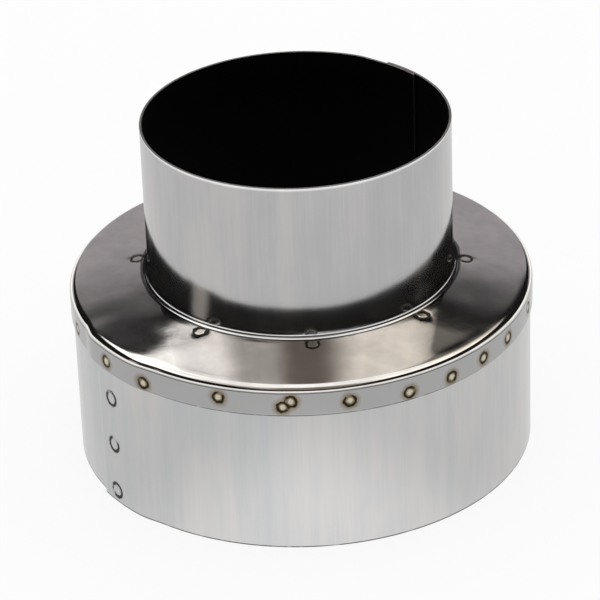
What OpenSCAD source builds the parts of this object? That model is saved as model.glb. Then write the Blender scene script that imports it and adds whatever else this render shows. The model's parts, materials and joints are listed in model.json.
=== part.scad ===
// Flue pipe reducer made by hand from stainless sheet: a wide body tube, a shoulder plate
// folded down over it, and a narrow spigot whose foot is turned out under the plate.
// Origin at the centre of the body tube's bottom edge, +Z up along the flue, millimetres.
// A bearing is 0 at the front (-Y) and grows towards +X.

/* [Tubes] */
// Outside diameter of the wide body tube
body_d = 150; // [130:1:200]
// Height of the body tube, up to just under the fold
body_h = 56.8; // [35:0.2:120]
// Outside diameter of the narrow spigot
spigot_d = 100; // [70:1:115]
// Length of the spigot's straight wall, above its turned foot
spigot_len = 51.5; // [30:0.5:120]
// Thickness of the sheet
sheet_t = 0.8; // [0.5:0.1:1.2]

/* [Shoulder] */
// Fall of the shoulder plate, in degrees below level
plate_fall = 8; // [2:0.5:20]
// Outside radius of the fold at the rim
fold_r = 2.5; // [1.6:0.1:4]
// Depth of the straight skirt below the fold
skirt_h = 7.8; // [7:0.1:20]
// Room between the body tube's top edge and the start of the fold
fold_room = 0.2; // [0.1:0.1:1]

/* [Spigot foot] */
// Radius of the bend that turns the foot out, on its outer side
foot_bend_r = 1.6; // [0.8:0.1:3]
// Width of the flange that lies under the shoulder plate
foot_flange_w = 7; // [5:0.5:9]
// Full round collar between the foot bend and the start of the lap seam
collar_h = 2; // [1:0.5:6]

/* [Lap seams] */
// Width of the body tube's lap
body_lap_w = 18; // [10:0.5:26]
// Length over which the body sheet rises onto its lap
body_rise_w = 11; // [6:0.5:20]
// Bearing of the cut edge that shows on the body tube
body_lap_at = -60.4; // [-75:0.1:-50]
// Width of the spigot's lap
spigot_lap_w = 13; // [8:0.5:20]
// Length over which the spigot sheet sinks under its lap
spigot_sink_w = 12; // [6:0.5:20]
// Bearing of the cut edge that shows on the spigot
spigot_lap_at = 141; // [100:1:180]
// Gap between the two layers of a lap, away from its welds
lap_gap = 0.1; // [0.05:0.05:0.3]
// Room between the body tube's lap and the bulge of the skirt over it
bulge_room = 0.05; // [0.05:0.05:0.3]
// Length over which the skirt settles back beside the lap
bulge_fade_w = 8; // [5:0.5:14]

/* [Spot welds] */
// Diameter of the mark that the electrode leaves
mark_d = 5.6; // [4:0.1:6]
// Width of the pressed ring round the mark
mark_ring_w = 0.9; // [0.5:0.1:1.5]
// Depth of the pressed ring
mark_depth = 0.2; // [0.1:0.05:0.3]
// Diameter of the fused spot inside a lap
nugget_d = 3.5; // [2:0.5:4]
// Height of the skirt's row of welds above its cut edge
skirt_row_h = 3.6; // [3.2:0.1:4.2]
// Number of welds on the part of the skirt that faces away
back_skirt_welds = 13; // [8:1:18]
// Distance from the hole's edge to the middle of a weld on the plate
plate_weld_in = 2.4; // [1.5:0.1:3.5]
// Number of welds in each lap seam
lap_welds = 3; // [2:1:4]
// Distance of a lap's welds from its cut edge
lap_weld_in = 7.2; // [5:0.1:9]
// Height of a lap's lowest weld above the seam's lower end
lap_weld_low = 4.3; // [4:0.1:8]
// Depth of a lap's highest weld below the end of the seam that shows
lap_weld_high = 10.3; // [6:0.1:14]

/* [Hidden] */
$fn = 180;
MARK_FN = 32;
MARK_LIFT = 0.5;
STEPS = 14;
FAR = 400;
TUCK = 0.02;
TUCK_TURN = 0.3;

body_r = body_d / 2;
spigot_r = spigot_d / 2;

// Rim of the shoulder: the skirt grips the body tube, and the fold turns in from its top
skirt_r = body_r + sheet_t;
fold_in = skirt_r - fold_r;
fold_z = body_h + fold_room;
skirt_z = fold_z - skirt_h;

// Plate: it rises from the fold to the edge of its hole, which clears the foot bend
hole_r = spigot_r + foot_bend_r;
plate_out = fold_in + fold_r * sin(plate_fall);
plate_out_z = fold_z + fold_r * cos(plate_fall);
hole_z = plate_out_z + (plate_out - hole_r) * tan(plate_fall);
sheet_drop = sheet_t / cos(plate_fall);

// Foot: its flange lies against the plate's underside, and its bend ends in the straight wall
foot_in = hole_r - foot_bend_r * sin(plate_fall);
foot_z = under_plate(foot_in) + foot_bend_r * cos(plate_fall);
flange_out = hole_r + foot_flange_w;
wall_z = foot_z + collar_h;
top_z = foot_z + spigot_len;

// Laps: spans as angles, and the shift of one layer against the other
lap_shift = sheet_t + lap_gap;
body_lap_end = body_lap_at + turn(body_lap_w, body_r);
body_rise_end = body_lap_end + turn(body_rise_w, body_r);
spigot_lap_start = spigot_lap_at - turn(spigot_lap_w, spigot_r);
spigot_sink_at = spigot_lap_at + turn(2 * sheet_t, spigot_r);
spigot_sink_end = spigot_sink_at + turn(spigot_sink_w, spigot_r);

// Bulge of the skirt over the body tube's lap
bulge_shift = lap_shift + bulge_room + TUCK;
bulge_full = body_lap_at - turn(2 * sheet_t, body_r);
bulge_start = bulge_full - turn(bulge_fade_w, body_r);
bulge_end = body_rise_end + turn(sheet_t, body_r);

// Welds that show, as bearing and height above the row, spaced by eye as on the real piece
front_skirt_welds = [
    [-74, -0.8], [-55, -0.1], [-42, -1.0], [-21, 1.0], [-5.5, -0.7], [-3.5, 1.4],
    [10.5, 0.3], [25.5, -1.0], [37.5, -1.0], [48.5, -0.2], [59.5, 0.0], [74.5, 0.6]
];
plate_weld_bearings = [-97, -37, 3, 45, 88, 131, 175, 219];

function turn(len, r) = len / r * 180 / PI;
function at(r, bearing) = [r * sin(bearing), -r * cos(bearing)];
function ease(u) = (1 - cos(180 * u)) / 2;
function under_plate(r) = hole_z - sheet_drop - (r - hole_r) * tan(plate_fall);

// Outward shift of the skirt's sheet at a bearing
function bulge_at(b) = bulge_shift * (b < bulge_full
    ? ease((b - bulge_start) / (bulge_full - bulge_start))
    : b < body_lap_end ? 1 : ease((bulge_end - b) / (bulge_end - body_lap_end)));

// Pie slice between two bearings
module slice(from, to) {
    parts = ceil((to - from) / 30);
    polygon(concat([[0, 0]], [for (i = [0 : parts]) at(FAR, from + (to - from) * i / parts)]));
}

// Section of a layer of sheet that follows a circle
module round_layer(inner_r, from, to) {
    intersection() {
        difference() {
            circle(inner_r + sheet_t);
            circle(inner_r);
        }
        slice(from, to);
    }
}

// Section of a layer that moves from one radius to another, its ends tucked into its neighbours
module shifting_layer(inner_r, from, to, shift_from, shift_to) {
    start = from - TUCK_TURN;
    span = to - from + 2 * TUCK_TURN;
    steps = [for (i = [0 : STEPS]) i / STEPS];
    outside = [for (u = steps)
        at(inner_r + sheet_t - TUCK + shift_from + (shift_to - shift_from) * ease(u), start + span * u)];
    inside = [for (u = steps)
        at(inner_r + TUCK + shift_to + (shift_from - shift_to) * ease(u), start + span * (1 - u))];
    polygon(concat(outside, inside));
}

// The skirt's bulge in plan: everything between a round inside and the shifted outside
module bulge_plan(inner_r, outer_r) {
    span = bulge_end - bulge_start;
    count = 3 * STEPS;
    outside = [for (i = [0 : count])
        let (b = bulge_start + span * i / count) at(outer_r - TUCK + bulge_at(b), b)];
    inside = [for (i = [0 : count]) at(inner_r, bulge_end - span * i / count)];
    polygon(concat(outside, inside));
}

// Puts a weld on a surface: out along the bearing, up, and leaned back by a tilt
module on_surface(r, z, bearing, lean = 90) {
    rotate([0, 0, bearing]) translate([0, -r, z]) rotate([lean, 0, 0]) children();
}

// Dish that the electrode pressed, cut into the sheet below the local plane z = 0
module mark() {
    slope = mark_ring_w / mark_depth;
    translate([0, 0, -mark_depth]) cylinder(h = mark_depth + MARK_LIFT, d1 = mark_d - 2 * mark_ring_w,
        d2 = mark_d + 2 * MARK_LIFT * slope, $fn = MARK_FN);
}

// Spot fused through both layers of a lap
module nugget() {
    translate([0, 0, -sheet_t]) cylinder(h = sheet_t, d = nugget_d, center = true, $fn = MARK_FN);
}

// Places children at each weld of a lap seam, on its outer layer
module each_lap_weld(outer_r, bearing, from_z, to_z) {
    pitch = (to_z - from_z - lap_weld_low - lap_weld_high) / (lap_welds - 1);
    for (i = [0 : lap_welds - 1]) on_surface(outer_r, from_z + lap_weld_low + pitch * i, bearing) children();
}

module each_body_lap_weld() {
    bearing = body_lap_at + turn(lap_weld_in, body_r);
    each_lap_weld(body_r + lap_shift, bearing, 0, skirt_z) children();
}

module each_spigot_lap_weld() {
    bearing = spigot_lap_at - turn(lap_weld_in, spigot_r);
    each_lap_weld(spigot_r, bearing, wall_z, top_z) children();
}

// Places children at each weld of the skirt's row
module each_skirt_weld() {
    first = front_skirt_welds[len(front_skirt_welds) - 1][0];
    gap = (360 + front_skirt_welds[0][0] - first) / (back_skirt_welds + 1);
    back = [for (i = [1 : back_skirt_welds]) [first + gap * i + 1.5 * sin(137 * i), 0.8 * sin(95 * i)]];
    for (w = concat(front_skirt_welds, back)) {
        on_bulge = w[0] > bulge_start && w[0] < bulge_end;
        r = skirt_r + (on_bulge ? bulge_at(w[0]) : 0);
        on_surface(r, skirt_z + skirt_row_h + w[1], w[0]) children();
    }
}

// Places children at each weld of the plate, square to its slope
module each_plate_weld() {
    r = hole_r + plate_weld_in;
    for (b = plate_weld_bearings)
        on_surface(r, hole_z - plate_weld_in * tan(plate_fall), b, plate_fall) children();
}

// Wide tube, rolled so that its outer layer stands proud over the lap
module body_tube() {
    inner_r = body_r - sheet_t;
    color([0.74, 0.73, 0.72]) difference() {
        union() {
            linear_extrude(body_h) {
                round_layer(inner_r, body_rise_end, body_lap_end + 360);
                round_layer(inner_r + lap_shift, body_lap_at, body_lap_end);
                shifting_layer(inner_r, body_lap_end, body_rise_end, lap_shift, 0);
            }
            each_body_lap_weld() nugget();
        }
        each_body_lap_weld() mark();
    }
}

// Half of a filled section under the shoulder, for its outer skin or, with a smaller fold, its inner
module under_shoulder(bend_r, from_r, from_z) {
    rim = [fold_in + bend_r * sin(plate_fall), fold_z + bend_r * cos(plate_fall)];
    translate([fold_in, fold_z]) circle(bend_r);
    polygon([
        [from_r, from_z], [from_r, rim[1] + (rim[0] - from_r) * tan(plate_fall)], rim,
        [fold_in, fold_z], [fold_in + bend_r, fold_z], [fold_in + bend_r, from_z]
    ]);
}

// The bulge's own outline, which is the rim's shape moved out by the bulge's full shift
module bulge_section() {
    translate([fold_in + bulge_shift, fold_z]) intersection() {
        circle(fold_r);
        square([fold_r, fold_r]);
    }
    translate([fold_in, skirt_z]) square([fold_r + bulge_shift, skirt_h]);
    translate([fold_in, fold_z]) square([bulge_shift, fold_r]);
}

// Round plate with a hole, folded down at its rim into a skirt that bulges over the lap
module shoulder() {
    color([0.62, 0.60, 0.58]) difference() {
        union() {
            rotate_extrude() under_shoulder(fold_r, hole_r, skirt_z);
            intersection() {
                linear_extrude(fold_z + fold_r) bulge_plan(body_r + sheet_t / 2, skirt_r);
                rotate_extrude() bulge_section();
            }
        }
        rotate_extrude() under_shoulder(fold_r - sheet_t, hole_r - 1, skirt_z - 1);
        translate([0, 0, skirt_z - 1]) linear_extrude(fold_z - skirt_z + 1)
            bulge_plan(body_r - sheet_t, body_r);
        each_skirt_weld() mark();
        each_plate_weld() mark();
    }
}

// Section of the spigot's foot: collar, bend and flange
module foot_section() {
    translate([spigot_r - sheet_t, foot_z]) square([sheet_t, collar_h]);
    translate([hole_r, foot_z]) intersection() {
        difference() {
            circle(foot_bend_r + sheet_t);
            circle(foot_bend_r);
        }
        polygon([[0, 0], [-FAR, 0], [-FAR, -FAR], [-FAR * tan(plate_fall), -FAR]]);
    }
    polygon([
        [foot_in, under_plate(foot_in)], [flange_out, under_plate(flange_out)],
        [flange_out - sheet_t * sin(plate_fall), under_plate(flange_out) - sheet_t * cos(plate_fall)],
        [foot_in - sheet_t * sin(plate_fall), under_plate(foot_in) - sheet_t * cos(plate_fall)]
    ]);
}

// Narrow tube, rolled so that its inner layer sinks under the lap, with its foot turned out
module spigot_tube() {
    inner_r = spigot_r - sheet_t;
    color([0.78, 0.77, 0.76]) difference() {
        union() {
            rotate_extrude() foot_section();
            translate([0, 0, wall_z]) linear_extrude(top_z - wall_z) {
                round_layer(inner_r, spigot_sink_end, spigot_lap_at + 360);
                round_layer(inner_r - lap_shift, spigot_lap_start, spigot_sink_at);
                shifting_layer(inner_r, spigot_sink_at, spigot_sink_end, -lap_shift, 0);
            }
            each_spigot_lap_weld() nugget();
        }
        each_spigot_lap_weld() mark();
    }
}

body_tube();
shoulder();
spigot_tube();
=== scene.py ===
import json
import math

import bpy
from mathutils import Matrix, Vector, noise


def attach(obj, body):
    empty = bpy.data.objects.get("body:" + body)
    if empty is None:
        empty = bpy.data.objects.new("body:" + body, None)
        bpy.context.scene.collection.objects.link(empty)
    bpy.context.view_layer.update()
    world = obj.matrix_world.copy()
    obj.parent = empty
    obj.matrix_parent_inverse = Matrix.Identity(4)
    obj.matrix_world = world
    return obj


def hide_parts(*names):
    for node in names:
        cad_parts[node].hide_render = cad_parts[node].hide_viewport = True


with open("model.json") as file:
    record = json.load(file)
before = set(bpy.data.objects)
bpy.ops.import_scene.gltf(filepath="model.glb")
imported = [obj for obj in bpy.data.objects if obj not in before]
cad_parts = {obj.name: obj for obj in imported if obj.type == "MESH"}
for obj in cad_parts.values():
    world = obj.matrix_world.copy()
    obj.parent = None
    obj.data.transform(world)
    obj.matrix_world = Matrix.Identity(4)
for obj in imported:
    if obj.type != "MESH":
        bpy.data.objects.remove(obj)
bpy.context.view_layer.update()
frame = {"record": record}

MM = 0.001

# Body tube: the wide lower tube, one sheet of stainless steel cut flat and rolled up. Its ends
# lap at the left, where the outer layer stands proud and three resistance welds hold it.
mounts = {mount["name"]: mount for mount in frame["record"]["mounts"]}
BODY_R = mounts["body_end"]["dims"]["r_mm"] + 0.8
BODY_H = mounts["body_end"]["dims"]["length_mm"]
SHEET = 0.8
LAP_GAP = 0.1
BODY_LAP_AT = -60.4
BODY_LAP_W = 18
BODY_RISE_W = 11
BODY_WELD_IN = 7.2
BODY_WELDS = [4.3, 21.7, 38.9]
LAP_MARK_R = 2.9


def turn(length, radius):
    """Angle in degrees that an arc of a length takes at a radius"""
    return math.degrees(length / radius)


def ease(u):
    u = min(max(u, 0), 1)
    return (1 - math.cos(math.pi * u)) / 2


def on_circle(radius, bearing, height):
    """Place at a bearing, which is 0 at the front and grows towards +X"""
    angle = math.radians(bearing)
    return Vector((radius * math.sin(angle), -radius * math.cos(angle), height))


def stations(start, end, coarse, fine, centres, reach):
    """Steps from start to end that are fine near the given centres"""
    steps = [start]
    while steps[-1] < end:
        here = steps[-1]
        ahead = min((c - reach - here for c in centres if c - reach > here), default=coarse)
        near = any(abs(here - c) < reach for c in centres)
        steps.append(here + (fine if near else max(fine, min(coarse, ahead))))
    steps[-1] = end
    return steps


def cut_sheet(name, across, up):
    """Flat sheet as a grid whose columns and rows stand at the given stations"""
    bpy.ops.object.select_all(action="DESELECT")
    columns, rows = len(across) - 1, len(up) - 1
    bpy.ops.mesh.primitive_grid_add(x_subdivisions=columns, y_subdivisions=rows, size=2)
    piece = bpy.context.object
    piece.name = name
    for vertex in piece.data.vertices:
        column = round((vertex.co.x + 1) / 2 * columns)
        row = round((vertex.co.y + 1) / 2 * rows)
        vertex.co = (across[column], up[row], 0)
    return piece


def form(piece, place, weld_at):
    """Bends the flat sheet to shape, and notes how far each point is from the nearest weld"""
    mesh = piece.data
    far = mesh.attributes.new("weld_reach", "FLOAT", "POINT")
    burn = mesh.attributes.new("weld_burn", "FLOAT", "POINT")
    for vertex in mesh.vertices:
        spot, normal = place(vertex.co.x, vertex.co.y)
        reach, strength = weld_at(vertex.co.x, vertex.co.y)
        far.data[vertex.index].value = reach
        burn.data[vertex.index].value = strength
        vertex.co = (spot + normal * press(reach)) * MM


def press(reach):
    """Height of the sheet at a distance from a weld, counted in radii of the electrode's mark"""
    if reach > 4:
        return 0
    groove = math.exp(-((reach - 0.82) / 0.22) ** 2)
    face = 1 - ease((reach - 0.3) / 0.5)
    dimple = math.exp(-(reach / 1.7) ** 2)
    return -0.12 * groove - 0.04 * face - 0.07 * dimple


def nearest_weld(across, up, welds):
    """Distance to the nearest weld in radii of its mark, and how burnt its ring is on this side"""
    best, strength = 9.0, 0.0
    for weld_across, weld_up, open_at, mark_r in welds:
        dx, dy = across - weld_across, up - weld_up
        if abs(dx) > 20 or abs(dy) > 20:
            continue
        reach = math.hypot(dx, dy) / mark_r
        if reach < best:
            best = reach
            side = math.degrees(math.atan2(dy, dx)) - open_at
            strength = 0.5 - 0.5 * math.cos(math.radians(side))
    return best, strength


def give_thickness(piece, inside, rim):
    """Turns the skin into a sheet of metal with slightly rounded cut edges"""
    bpy.ops.object.select_all(action="DESELECT")
    piece.select_set(True)
    bpy.context.view_layer.objects.active = piece
    solid = piece.modifiers.new("sheet", "SOLIDIFY")
    solid.thickness = SHEET * MM
    solid.offset = -1
    solid.use_even_offset = True
    solid.material_offset = inside
    solid.material_offset_rim = rim
    bpy.ops.object.modifier_apply(modifier=solid.name)
    edge = piece.modifiers.new("cut_edge", "BEVEL")
    edge.limit_method = "ANGLE"
    edge.angle_limit = math.radians(60)
    edge.width = 0.12 * MM
    edge.segments = 2
    bpy.ops.object.modifier_apply(modifier=edge.name)
    bpy.ops.object.shade_smooth_by_angle(angle=math.radians(35))


class Wire:
    """Output of a node that sums and products can be made of, which add their Math nodes"""

    def __init__(self, tree, socket):
        self.tree = tree
        self.socket = socket

    def maths(self, operation, *values):
        return add_node(self.tree, "ShaderNodeMath", {"operation": operation}, *values)

    def __add__(self, other):
        return self.maths("ADD", self, other)

    __radd__ = __add__

    def __sub__(self, other):
        return self.maths("SUBTRACT", self, other)

    def __rsub__(self, other):
        return self.maths("SUBTRACT", other, self)

    def __mul__(self, other):
        return self.maths("MULTIPLY", self, other)

    __rmul__ = __mul__

    def __truediv__(self, other):
        return self.maths("DIVIDE", self, other)

    def __rtruediv__(self, other):
        return self.maths("DIVIDE", other, self)

    def __abs__(self):
        return self.maths("ABSOLUTE", self)

    def step(self, low, high):
        """0 below low, 1 above high and smooth between, or the other way round if low > high"""
        settings = {"interpolation_type": "SMOOTHSTEP"}
        sign = 1 if low < high else -1
        wire = self if sign == 1 else 0 - self
        return add_node(self.tree, "ShaderNodeMapRange", settings, wire, sign * low, sign * high, 0.0, 1.0)


def add_node(tree, kind, settings, *inputs, out=0, **named):
    """Adds a node: its settings first, then values or wires for its sockets in order or by name"""
    node = tree.nodes.new(kind)
    for key, value in settings.items():
        if key == "stops":
            while len(node.color_ramp.elements) < len(value):
                node.color_ramp.elements.new(0.5)
            for stop, (position, colour) in zip(node.color_ramp.elements, value):
                stop.position = position
                stop.color = (*colour, 1)
        else:
            setattr(node, key, value)
    sockets = list(zip(node.inputs, inputs)) + [(node.inputs[key], value) for key, value in named.items()]
    for socket, value in sockets:
        if isinstance(value, Wire):
            tree.links.new(value.socket, socket)
        elif value is not None:
            socket.default_value = value
    return Wire(tree, node.outputs[out])


def new_material(name):
    material = bpy.data.materials.new(name)
    material.use_nodes = True
    tree = material.node_tree
    tree.nodes.clear()
    return material, tree


def finish_steel(tree, colour, roughness, height, bump):
    """Closes a steel's node tree: colour, roughness and the height that its bump follows"""
    normal = add_node(tree, "ShaderNodeBump", {}, Strength=1.0, Distance=bump * MM, Height=height)
    shader = add_node(tree, "ShaderNodeBsdfPrincipled", {}, **{
        "Base Color": colour, "Metallic": 1.0, "Roughness": roughness, "Normal": normal})
    output = tree.nodes.new("ShaderNodeOutputMaterial")
    tree.links.new(shader.socket, output.inputs["Surface"])


def blend(tree, factor, first, second):
    """Mix of two colours, each a value or a wire"""
    mix = tree.nodes.new("ShaderNodeMix")
    mix.data_type = "RGBA"
    for socket, value in ((mix.inputs[0], factor), (mix.inputs[6], first), (mix.inputs[7], second)):
        if isinstance(value, Wire):
            tree.links.new(value.socket, socket)
        else:
            socket.default_value = value if socket is mix.inputs[0] else (*value, 1)
    return Wire(tree, mix.outputs[2])


def grain(tree, vector, scale, detail=3.0, distortion=0.0):
    return add_node(tree, "ShaderNodeTexNoise", {}, Vector=vector, Scale=scale, Detail=detail,
                    Roughness=0.55, Distortion=distortion)


def wall_steel(name, cool, warm, seed, welds, dirt=()):
    """Satin stainless sheet with its rolling grain upright, on the outside of a tube"""
    material, tree = new_material(name)
    place = add_node(tree, "ShaderNodeTexCoord", {}, out=3)
    moved = add_node(tree, "ShaderNodeVectorMath", {"operation": "ADD"}, place, (seed, seed, seed))
    upright = add_node(tree, "ShaderNodeVectorMath", {"operation": "MULTIPLY"}, moved, (1, 1, 0.035))
    leaning = add_node(tree, "ShaderNodeVectorMath", {"operation": "MULTIPLY"}, moved, (1, 1, 0.35))
    fine = grain(tree, upright, 1400.0, 4.0)
    broad = grain(tree, upright, 170.0, 3.0)
    cloud = grain(tree, leaning, 34.0, 4.0, 0.6)
    patch = grain(tree, leaning, 90.0, 3.0, 0.4)
    tone = (cloud * 0.9 + broad * 0.5 + patch * 0.4 + fine * 0.3 - 0.55).step(0.2, 0.8)
    colour = blend(tree, tone, cool, warm)
    roughness = 0.08 + fine * 0.04 + patch * 0.05
    height = broad * 0.4 + patch * 0.6
    colour, roughness = weld_marks(tree, place, colour, roughness, **welds)
    up = add_node(tree, "ShaderNodeSeparateXYZ", {}, place, out=2)
    # Painted shade: a dark line, broken by noise, at each given height, standing in for the shadow in a crevice
    # or at a contact
    for level, width in dirt:
        lump = grain(tree, place, 260.0, 2.0)
        line = abs(up - level * MM).step(width * MM, width * 0.4 * MM) * (lump * 1.6).step(0.3, 0.8)
        colour = blend(tree, line * 0.95, colour, (0.03, 0.03, 0.03))
    finish_steel(tree, colour, roughness, height, 0.02)
    return material


def weld_marks(tree, place, colour, roughness, ring_colour, tint, uneven):
    """Dark broken ring, pale face and heat tint round each weld, from the distances in the mesh"""
    reach = add_node(tree, "ShaderNodeAttribute", {"attribute_name": "weld_reach"}, out=2)
    burn = add_node(tree, "ShaderNodeAttribute", {"attribute_name": "weld_burn"}, out=2)
    speck = grain(tree, place, 1500.0, 3.0)
    lump = grain(tree, place, 420.0, 2.0)
    wander = reach + (speck - 0.5) * 0.25 + (lump - 0.5) * uneven
    halo = wander.step(1.9, 0.8)
    colour = blend(tree, halo * tint, colour, (0.24, 0.16, 0.06))
    ring = wander.step(1.10, 0.98) * wander.step(0.58, 0.70)
    dark = ring * (burn * 1.1 + lump * 0.9).step(0.35, 0.65)
    colour = blend(tree, dark * 0.97, colour, ring_colour)
    face = wander.step(0.55, 0.35)
    colour = blend(tree, face * tint, colour, (0.80, 0.76, 0.62))
    return colour, roughness + dark * 0.3


def plain_steel(name, colour, roughness):
    """Steel seen only on a cut edge or an inside wall"""
    material, tree = new_material(name)
    place = add_node(tree, "ShaderNodeTexCoord", {}, out=3)
    cloud = grain(tree, place, 220.0)
    shade = blend(tree, cloud, tuple(0.8 * c for c in colour), tuple(1.2 * c for c in colour))
    finish_steel(tree, shade, roughness + cloud * 0.15, cloud, 0.02)
    return material


def waver(seed, spot, size, depth):
    """Slight unevenness of hand-worked sheet, in millimetres"""
    return depth * noise.noise(Vector((spot.x, spot.y, spot.z)) / size + Vector((seed, seed, seed)))


def body_place(across, up):
    lift = (SHEET + LAP_GAP) * (1 - ease((across - BODY_LAP_W) / BODY_RISE_W))
    bearing = BODY_LAP_AT + turn(across, BODY_R)
    normal = on_circle(1, bearing, 0)
    flat = on_circle(BODY_R, bearing, up)
    hand = waver(3.1, flat, 22, 0.05) + waver(7.7, flat, 9, 0.02)
    inner = 0.06 if across > BODY_LAP_W * 2 and across > body_length - 2 * BODY_LAP_W else 0
    return flat + normal * (lift + hand * (0 if inner else 1) - inner), normal


body_length = 2 * math.pi * BODY_R + BODY_LAP_W
body_welds = [(BODY_WELD_IN, z, open_at, LAP_MARK_R) for z, open_at in zip(BODY_WELDS, (200, 80, 120))]
body_tube = cut_sheet(
    "body_tube_sheet",
    stations(0, body_length, 1.3, 0.35, [BODY_WELD_IN], 4.2),
    stations(0, BODY_H, 1.6, 0.35, BODY_WELDS, 4.2))
form(body_tube, body_place, lambda across, up: nearest_weld(across, up, body_welds))
body_tube.data.materials.append(wall_steel(
    "body_steel", (0.60, 0.61, 0.62), (0.72, 0.70, 0.69), 0.0,
    {"ring_colour": (0.03, 0.027, 0.024), "tint": 0.04, "uneven": 0.15},
    # Painted shade lines: just under the skirt's lower edge, and along the tube's foot where it meets the floor
    [(BODY_H + 0.2 - 7.8 - 0.15, 0.75), (0, 0.6)]))
# The inside of the body tube is painted darker than its outside, a painted shade for the dark inside of the tube
body_tube.data.materials.append(plain_steel("body_inside_steel", (0.30, 0.30, 0.30), 0.4))
body_tube.data.materials.append(plain_steel("body_edge_steel", (0.34, 0.33, 0.32), 0.35))
give_thickness(body_tube, 1, 2)
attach(body_tube, "root")
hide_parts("body_tube")


# Shoulder: one round plate with a hole, beaten to a shallow cone and folded down at its rim into
# a skirt. The skirt grips the body tube, bulges over its lap, and is spot welded to it all round.
PLATE_FALL = 8
FOLD_R = 2.5
FOLD_ROOM = 0.2
SKIRT_H = 7.8
SKIRT_R = BODY_R + SHEET
SPIGOT_R = mounts["spigot_end"]["dims"]["r_mm"]
FOOT_BEND_R = 1.6
HOLE_R = SPIGOT_R + FOOT_BEND_R
FOLD_IN = SKIRT_R - FOLD_R
FOLD_Z = BODY_H + FOLD_ROOM
SKIRT_Z = FOLD_Z - SKIRT_H
SLOPE = math.tan(math.radians(PLATE_FALL))
PLATE_OUT = FOLD_IN + FOLD_R * math.sin(math.radians(PLATE_FALL))
PLATE_OUT_Z = FOLD_Z + FOLD_R * math.cos(math.radians(PLATE_FALL))
HOLE_Z = PLATE_OUT_Z + (PLATE_OUT - HOLE_R) * SLOPE
SEAM_AT = 180

# Welds that show, as bearing, height and the side where the burnt ring is open
FRONT_WELDS = [
    (-74, 52.0, 60), (-55, 52.7, 40), (-42, 51.8, 150), (-21, 53.8, 70), (-5.5, 52.1, 300),
    (-3.5, 54.2, 190), (10.5, 53.1, 100), (25.5, 51.8, 30), (37.5, 51.8, 250), (48.5, 52.6, 200),
    (59.5, 52.8, 90), (74.5, 53.4, 230)]
BACK_WELDS = 13
PLATE_WELDS = [-97, -37, 3, 45, 88, 131, 175, 219]
PLATE_WELD_IN = 2.4
SKIRT_MARK_R = 2.1
PLATE_MARK_R = 2.5

BULGE = SHEET + LAP_GAP + 0.07
bulge_full = BODY_LAP_AT - turn(2 * SHEET, BODY_R)
bulge_start = bulge_full - turn(8, BODY_R)
body_lap_end = BODY_LAP_AT + turn(BODY_LAP_W, BODY_R)
bulge_end = body_lap_end + turn(BODY_RISE_W + SHEET, BODY_R)


def bulge_at(bearing):
    """How far the skirt moves out at a bearing, to pass over the body tube's lap"""
    bearing = (bearing + 180) % 360 - 180
    if bearing < body_lap_end:
        return BULGE * ease((bearing - bulge_start) / (bulge_full - bulge_start))
    return BULGE * ease((bulge_end - bearing) / (bulge_end - body_lap_end))


fold_length = FOLD_R * math.radians(90 - PLATE_FALL)
plate_length = (PLATE_OUT - HOLE_R) / math.cos(math.radians(PLATE_FALL))


def shoulder_section(up):
    """Radius, height and outward tilt of the skin, going up the skirt and in over the plate"""
    if up < SKIRT_H:
        return SKIRT_R, SKIRT_Z + up, 90
    up -= SKIRT_H
    if up < fold_length:
        tilt = 90 - math.degrees(up / FOLD_R)
        lean = math.radians(tilt)
        return FOLD_IN + FOLD_R * math.sin(lean), FOLD_Z + FOLD_R * math.cos(lean), tilt
    inwards = (up - fold_length) * math.cos(math.radians(PLATE_FALL))
    return PLATE_OUT - inwards, PLATE_OUT_Z + inwards * SLOPE, PLATE_FALL


def shoulder_place(bearing, up):
    radius, height, tilt = shoulder_section(up)
    lean = math.radians(tilt)
    outwards = on_circle(1, bearing, 0)
    normal = outwards * math.sin(lean) + Vector((0, 0, math.cos(lean)))
    spot = outwards * radius + Vector((0, 0, height))
    over_lap = bulge_at(bearing) * ease((radius - 62) / (FOLD_IN - 62))
    on_plate = ease((FOLD_IN + 1.5 - radius) / 4) * ease((radius - HOLE_R) / 3)
    hand = waver(1.7, spot, 24, 0.22) * on_plate + waver(5.3, spot, 11, 0.05) - 0.05
    return spot + outwards * over_lap + normal * hand, normal


back_first = FRONT_WELDS[-1][0]
back_gap = (360 + FRONT_WELDS[0][0] - back_first) / (BACK_WELDS + 1)
skirt_welds = [(bearing, z - SKIRT_Z, open_at) for bearing, z, open_at in FRONT_WELDS]
for number in range(1, BACK_WELDS + 1):
    skirt_welds.append((
        back_first + back_gap * number + 1.5 * math.sin(math.radians(137 * number)),
        3.6 + 0.8 * math.sin(math.radians(95 * number)), 77 * number))
plate_weld_up = SKIRT_H + fold_length + plate_length - PLATE_WELD_IN


def shoulder_weld_at(bearing, up):
    radius = shoulder_section(up)[0]
    welds = []
    for index, (weld_bearing, weld_up, open_at) in enumerate(skirt_welds):
        away = (bearing - weld_bearing + 180) % 360 - 180
        welds.append((-math.radians(away) * SKIRT_R, weld_up, open_at, SKIRT_MARK_R))
    for weld_bearing in PLATE_WELDS:
        away = (bearing - weld_bearing + 180) % 360 - 180
        welds.append((-math.radians(away) * radius, plate_weld_up, 90, PLATE_MARK_R))
    return nearest_weld(0, up, welds)


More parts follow.
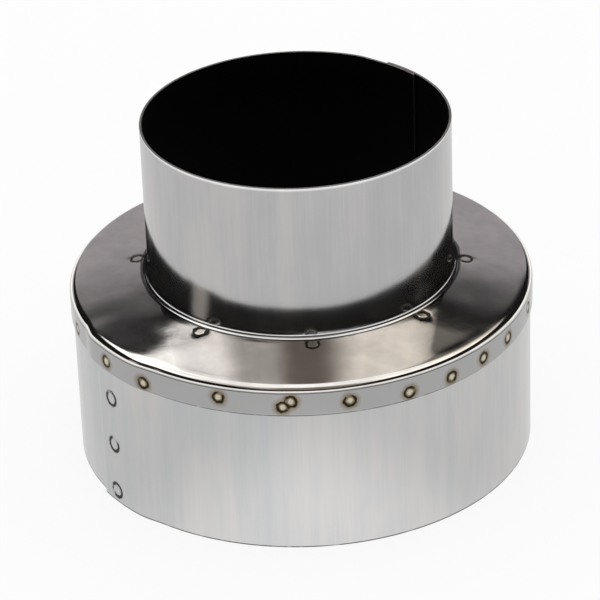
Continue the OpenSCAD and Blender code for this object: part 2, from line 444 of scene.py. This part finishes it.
shoulder_length = SKIRT_H + fold_length + plate_length
columns = sorted(
    [(bearing - SEAM_AT) % 360 + SEAM_AT for bearing, _, _ in skirt_welds]
    + [(bearing - SEAM_AT) % 360 + SEAM_AT for bearing in PLATE_WELDS])
rows = [SKIRT_H * step / 22 for step in range(22)]
rows += [SKIRT_H + fold_length * step / 10 for step in range(10)]
rows += stations(SKIRT_H + fold_length, shoulder_length, 1.5, 0.4, [plate_weld_up], 4)
shoulder = cut_sheet("shoulder_sheet", stations(
    SEAM_AT, SEAM_AT + 360, turn(1.2, SKIRT_R), turn(0.42, SKIRT_R), columns, turn(4, SKIRT_R)), rows)
form(shoulder, shoulder_place, shoulder_weld_at)


def close_ring(piece):
    """Joins the two ends of a sheet that meet all the way up"""
    bpy.ops.object.select_all(action="DESELECT")
    piece.select_set(True)
    bpy.context.view_layer.objects.active = piece
    bpy.ops.object.mode_set(mode="EDIT")
    bpy.ops.mesh.select_all(action="SELECT")
    bpy.ops.mesh.remove_doubles(threshold=0.002 * MM)
    bpy.ops.object.mode_set(mode="OBJECT")


def plate_steel(name):
    """Stainless plate rubbed bright round its axis, with burnt welds on its skirt"""
    material, tree = new_material(name)
    place = add_node(tree, "ShaderNodeTexCoord", {}, out=3)
    x, y, z = (add_node(tree, "ShaderNodeSeparateXYZ", {}, place, out=axis) for axis in range(3))
    radius = (x * x + y * y).maths("POWER", x * x + y * y, 0.5)
    round_axis = add_node(tree, "ShaderNodeCombineXYZ", {}, x / radius * 0.05, y / radius * 0.05, radius + z)
    fine = grain(tree, round_axis, 1500.0, 4.0)
    broad = grain(tree, round_axis, 260.0, 3.0)
    cloud = grain(tree, place, 45.0, 4.0, 0.8)
    patch = grain(tree, place, 140.0, 4.0, 0.5)
    tone = (cloud * 1.0 + patch * 0.5 + broad * 0.3 - 0.4).step(0.2, 0.8)
    colour = blend(tree, tone, (0.60, 0.58, 0.56), (0.76, 0.73, 0.70))
    roughness = 0.035 + fine * 0.03 + patch * 0.05
    height = broad * 0.45 + patch * 0.45
    on_skirt = z.step((FOLD_Z + 0.5) * MM, (FOLD_Z - 0.3) * MM)
    # Painted shade: the skirt is painted darker grey than the plate, for the shaded floor near the body that it
    # mirrors
    colour = blend(tree, on_skirt * 0.9, colour, (0.47, 0.47, 0.47))
    # Painted shade: a dark line along the fold, where its underside is in shade
    painted_fold_shade = abs(z - FOLD_Z * MM + (patch - 0.5) * (0.3 * MM)).step(0.28 * MM, 0.12 * MM)
    colour = blend(tree, painted_fold_shade * 0.7, colour, (0.05, 0.05, 0.05))
    # Painted shade: a dark ring round the hole, for the shaded crevice between the plate's cut edge and the
    # spigot's foot
    painted_hole_shade = (radius + (patch - 0.5) * (1.2 * MM)).step((HOLE_R + 1.1) * MM, (HOLE_R + 0.5) * MM)
    colour = blend(tree, painted_hole_shade * 0.85, colour, (0.03, 0.03, 0.03))
    colour, roughness = weld_marks(
        tree, place, colour, roughness, (0.025, 0.018, 0.010), on_skirt * 0.75 + 0.05, 0.55)
    finish_steel(tree, colour, roughness, height, 0.02)
    return material


close_ring(shoulder)
shoulder.data.materials.append(plate_steel("shoulder_steel"))
# The underside of the shoulder is painted darker than its top, a painted shade for the dark inside of the tube
shoulder.data.materials.append(plain_steel("shoulder_inside_steel", (0.30, 0.30, 0.30), 0.4))
# The shoulder's cut edges are painted near-black, a painted shade for the dark lines under the skirt's edge and
# round the hole
shoulder.data.materials.append(plain_steel("shoulder_edge_steel", (0.02, 0.018, 0.016), 0.5))
give_thickness(shoulder, 1, 2)
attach(shoulder, "root")
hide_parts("shoulder")


# Spigot tube: the narrow upper tube, one sheet rolled up with its lap at the back right. Its foot
# is turned out through a small bend, and the flange lies under the shoulder plate.
SPIGOT_TOP = mounts["spigot_end"]["pos_m"][2] / MM
FLANGE_W = 7
SPIGOT_LAP_AT = 141
SPIGOT_LAP_W = 13
SPIGOT_SINK_W = 12
spigot_start = SPIGOT_LAP_AT - turn(SPIGOT_LAP_W, SPIGOT_R)
under_lap = SPIGOT_LAP_W + 2 * SHEET
fall = math.radians(PLATE_FALL)
foot_in = HOLE_R - FOOT_BEND_R * math.sin(fall)


def under_plate(radius):
    return HOLE_Z - SHEET / math.cos(fall) - (radius - HOLE_R) * SLOPE


foot_z = under_plate(foot_in) + FOOT_BEND_R * math.cos(fall)
flange_out = HOLE_R + FLANGE_W
flange_length = (flange_out - foot_in) / math.cos(fall)
bend_length = FOOT_BEND_R * (math.pi / 2 - fall)
spigot_height = flange_length + bend_length + SPIGOT_TOP - foot_z


def spigot_section(up):
    """Radius, height and outward tilt of the skin, going in along the flange and up the wall"""
    if up < flange_length:
        radius = flange_out - up * math.cos(fall)
        return radius, under_plate(radius), PLATE_FALL
    up -= flange_length
    if up < bend_length:
        turned = fall + up / FOOT_BEND_R
        radius = HOLE_R - FOOT_BEND_R * math.sin(turned)
        return radius, foot_z - FOOT_BEND_R * math.cos(turned), math.degrees(turned)
    return SPIGOT_R, foot_z + up - bend_length, 90


def spigot_place(across, up):
    radius, height, tilt = spigot_section(up)
    bearing = spigot_start + turn(across, SPIGOT_R)
    lean = math.radians(tilt)
    outwards = on_circle(1, bearing, 0)
    normal = outwards * math.sin(lean) + Vector((0, 0, math.cos(lean)))
    sunk = (SHEET + LAP_GAP) * (1 - ease((across - under_lap) / SPIGOT_SINK_W))
    spot = outwards * radius + Vector((0, 0, height))
    hand = (waver(2.3, spot, 20, 0.05) + waver(9.1, spot, 8, 0.02)) * ease((height - foot_z - 1) / 6)
    return spot - normal * sunk + normal * hand * (0 if sunk > 0.4 else 1), normal


spigot_length = 2 * math.pi * SPIGOT_R + SPIGOT_LAP_W
lap_weld_across = spigot_length - 7.2
wall_up = flange_length + bend_length
spigot_weld_heights = [wall_up + 2 + 4.3, wall_up + 21.6, spigot_height - 10.3]
spigot_welds = [(lap_weld_across, up, 140 * number, LAP_MARK_R) for number, up in enumerate(spigot_weld_heights)]
rows = [flange_length * step / 6 for step in range(6)]
rows += [flange_length + bend_length * step / 8 for step in range(8)]
rows += stations(wall_up, spigot_height, 1.6, 0.35, spigot_weld_heights, 4.2)
spigot_tube = cut_sheet("spigot_tube_sheet", stations(
    0, spigot_length, 1.1, 0.35, [lap_weld_across], 4.2), rows)
form(spigot_tube, spigot_place, lambda across, up: nearest_weld(across, up, spigot_welds))
spigot_tube.data.materials.append(wall_steel(
    "spigot_steel", (0.55, 0.55, 0.56), (0.66, 0.64, 0.63), 0.4,
    {"ring_colour": (0.03, 0.027, 0.024), "tint": 0.04, "uneven": 0.15}))
# The inside of the spigot is painted near-black, a painted shade for the dark inside of the tube
spigot_tube.data.materials.append(plain_steel("spigot_inside_steel", (0.004, 0.004, 0.004), 0.6))
spigot_tube.data.materials.append(plain_steel("spigot_edge_steel", (0.30, 0.29, 0.28), 0.35))
give_thickness(spigot_tube, 1, 2)
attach(spigot_tube, "root")
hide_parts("spigot_tube")


# Studio: a white floor, and a dark room round it with a white skirting, pale lights high up and
# a bright ceiling, so that the polished plate shows bands and the tubes show the floor.
def studio_floor():
    bpy.ops.object.select_all(action="DESELECT")
    bpy.ops.mesh.primitive_plane_add(size=6)
    floor = bpy.context.object
    floor.name = "studio_floor"
    material, tree = new_material("floor_white")
    seen, glossy, through = (add_node(tree, "ShaderNodeLightPath", {}, out=index) for index in (0, 3, 6))
    matt = add_node(tree, "ShaderNodeBsdfDiffuse", {}, Color=(0.9, 0.9, 0.9, 1))
    white = add_node(tree, "ShaderNodeEmission", {}, Color=(1, 1, 1, 1), Strength=1.0)
    place = add_node(tree, "ShaderNodeTexCoord", {}, out=3)
    x, y = (add_node(tree, "ShaderNodeSeparateXYZ", {}, place, out=axis) for axis in range(2))
    away = (x * x + y * y).maths("POWER", x * x + y * y, 0.5)
    # Painted light and shade, seen in reflections only: the floor glows brighter in a painted pool of light in
    # front of the object and far from it, and dimmer near it as painted shade
    ahead = y + 0.085
    pool = (x * x + ahead * ahead).maths("POWER", x * x + ahead * ahead, 0.5)
    glow = 0.73 + pool.step(0.09, 0.01) * 0.24 + away.step(0.26, 0.42) * 0.55
    pale = add_node(tree, "ShaderNodeEmission", {}, Color=(1, 1, 1, 1), Strength=glow)
    mixed = add_node(tree, "ShaderNodeMixShader", {}, seen * 0.86, matt, white)
    mixed = add_node(tree, "ShaderNodeMixShader", {}, glossy.maths("MAXIMUM", glossy, through), mixed, pale)
    output = tree.nodes.new("ShaderNodeOutputMaterial")
    tree.links.new(mixed.socket, output.inputs["Surface"])
    floor.data.materials.append(material)


def studio_world():
    """White to the camera and the floor; to the steel a dark room with pale lights round it"""
    world = bpy.data.worlds.new("studio")
    bpy.context.scene.world = world
    world.use_nodes = True
    tree = world.node_tree
    tree.nodes.clear()
    direction = add_node(tree, "ShaderNodeTexCoord", {}, out=0)
    x, y, z = (add_node(tree, "ShaderNodeSeparateXYZ", {}, direction, out=axis) for axis in range(3))
    height = z.maths("ARCSINE", z) * (180 / math.pi)
    compass = x.maths("ARCTAN2", x, y) * (180 / math.pi)
    aloft = height.step(38.5, 41.5)
    left = compass.step(-7, -11) * compass.step(-172, -152) * height.step(39.5, 42)
    key = compass.step(-7, -11) * compass.step(-125, -98) * height.step(39.5, 42)
    right = compass.step(-8, 82) * compass.step(168, 130) * aloft
    near = abs(compass).step(140, 165) * height.step(20, 27)
    behind = abs(compass).step(19, 15) * height.step(39, 22)
    low_left = abs(compass + 101).step(10, 3)
    low_right = abs(compass - 80).step(14, 7) * height.step(15.6, 14.6)
    low_behind = abs(compass).step(42, 34) * height.step(17, 13)
    skirting = height.step(8, 4)
    ceiling = height.step(54, 62)
    light = blend(tree, low_left, (0.006, 0.006, 0.006), (0.45, 0.43, 0.41))
    light = blend(tree, low_right, light, (0.24, 0.22, 0.20))
    light = blend(tree, low_behind, light, (0.42, 0.41, 0.42))
    light = blend(tree, height.step(20, 24), light, (0.01, 0.01, 0.01))
    light = blend(tree, behind, light, (0.41, 0.39, 0.41))
    light = blend(tree, near, light, (0.24, 0.21, 0.18))
    light = blend(tree, left, light, (0.80, 0.77, 0.73))
    light = blend(tree, key, light, (1.75, 1.74, 1.72))
    light = blend(tree, right, light, (1.65, 1.55, 1.40))
    light = blend(tree, ceiling, light, (1.3, 1.3, 1.3))
    light = blend(tree, skirting, light, (1.2, 1.2, 1.2))
    glossy = add_node(tree, "ShaderNodeLightPath", {}, out=3)
    white = add_node(tree, "ShaderNodeBackground", {}, Color=(1, 1, 1, 1), Strength=1.0)
    room = add_node(tree, "ShaderNodeBackground", {}, light, 1.0)
    mixed = add_node(tree, "ShaderNodeMixShader", {}, glossy, white, room)
    output = tree.nodes.new("ShaderNodeOutputWorld")
    tree.links.new(mixed.socket, output.inputs["Surface"])


# Camera: where the photograph was taken from, a little turned about its own axis
def photo_camera():
    pitch, roll = math.radians(29.10), math.radians(2.13)
    target = Vector((-0.0006, 0, 0.0480))
    away = 1.1549
    camera = bpy.data.objects.new("camera", bpy.data.cameras.new("camera"))
    bpy.context.scene.collection.objects.link(camera)
    camera.data.lens = 210.64
    camera.data.sensor_width = 36
    camera.data.clip_end = 20
    place = target + away * Vector((0, -math.cos(pitch), math.sin(pitch)))
    aim = (target - place).to_track_quat("-Z", "Y").to_matrix().to_4x4()
    camera.matrix_world = Matrix.Translation(place) @ aim @ Matrix.Rotation(-roll, 4, "Z")
    bpy.context.scene.camera = camera


studio_floor()
studio_world()
photo_camera()
bpy.context.scene.view_settings.view_transform = "Standard"
